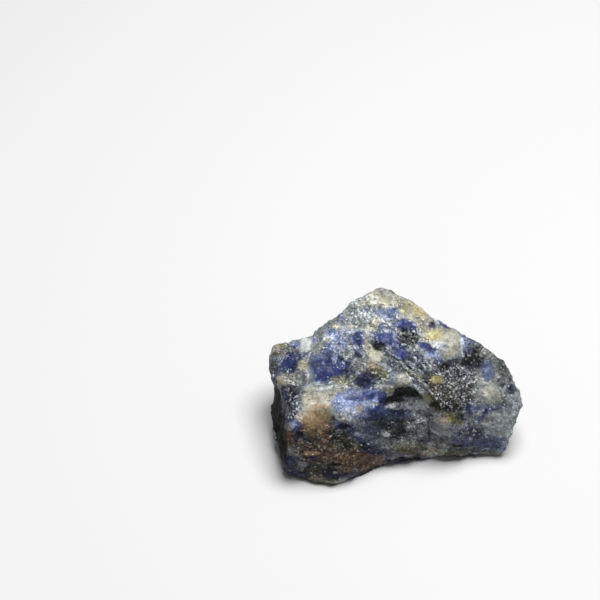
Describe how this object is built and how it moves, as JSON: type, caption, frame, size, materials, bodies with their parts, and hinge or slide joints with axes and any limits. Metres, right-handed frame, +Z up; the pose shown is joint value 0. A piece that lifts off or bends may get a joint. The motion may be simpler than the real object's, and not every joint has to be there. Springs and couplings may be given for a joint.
{
  "type": "rough sodalite stone",
  "caption": "Rough broken lump of blue, white and cream sodalite with a pointed summit and a flat underside spot it rests on; for display, decor or tumbling.",
  "frame": {"origin": "on the ground plane, under the middle of the lump's bounding box", "axes": "+Z up from the flat spot it rests on, +X along the lump's length towards its blunt grainy end, +Y from the low front face to the tall back"},
  "size_m": [0.051, 0.0346, 0.027],
  "materials": {
    "sodalite": "rough broken mineral, mottled royal blue, slate blue, lilac white, cream and rusty brown, satin with small bright cleavage faces"
  },
  "bodies": {
    "root": {"sodalite_stone": "sodalite"}
  },
  "joints": []
}
